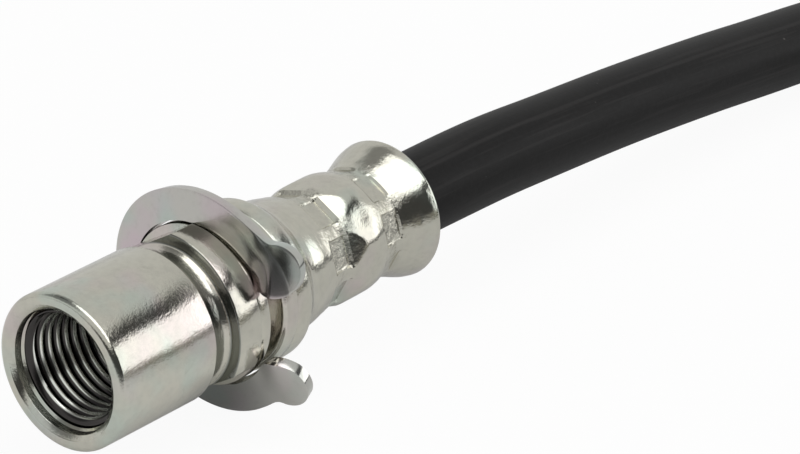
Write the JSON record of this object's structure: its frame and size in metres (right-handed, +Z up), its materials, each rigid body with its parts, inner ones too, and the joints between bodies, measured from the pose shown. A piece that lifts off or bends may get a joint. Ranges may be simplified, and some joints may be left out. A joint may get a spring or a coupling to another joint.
{
  "type": "brake hose",
  "caption": "Rubber brake hose with a crimped female end fitting, its horseshoe retaining clip, and a crimped banjo fitting at the far end.",
  "frame": {"origin": "on the resting surface, under the middle of the female end fitting and its clip", "axes": "+X along the fitting from its port to the hose, +Z up, the clip opens towards -Y"},
  "size_m": [0.2109, 0.1306, 0.0294],
  "materials": {
    "zinc_plated_steel": "bright zinc plating with a faint warm iridescence, stained and scratched",
    "clip_spring_steel": "smooth plated spring steel, soft mirror",
    "insert_steel": "machined, satin",
    "hose_rubber": "smooth extruded black rubber with a low sheen"
  },
  "bodies": {
    "root": {"fitting_body": "zinc_plated_steel", "seat_insert": "insert_steel", "retaining_clip": "clip_spring_steel", "hose_end_front": "hose_rubber", "hose": "hose_rubber", "hose_end_rear": "hose_rubber", "banjo_body": "zinc_plated_steel", "banjo_insert": "insert_steel"}
  },
  "joints": []
}
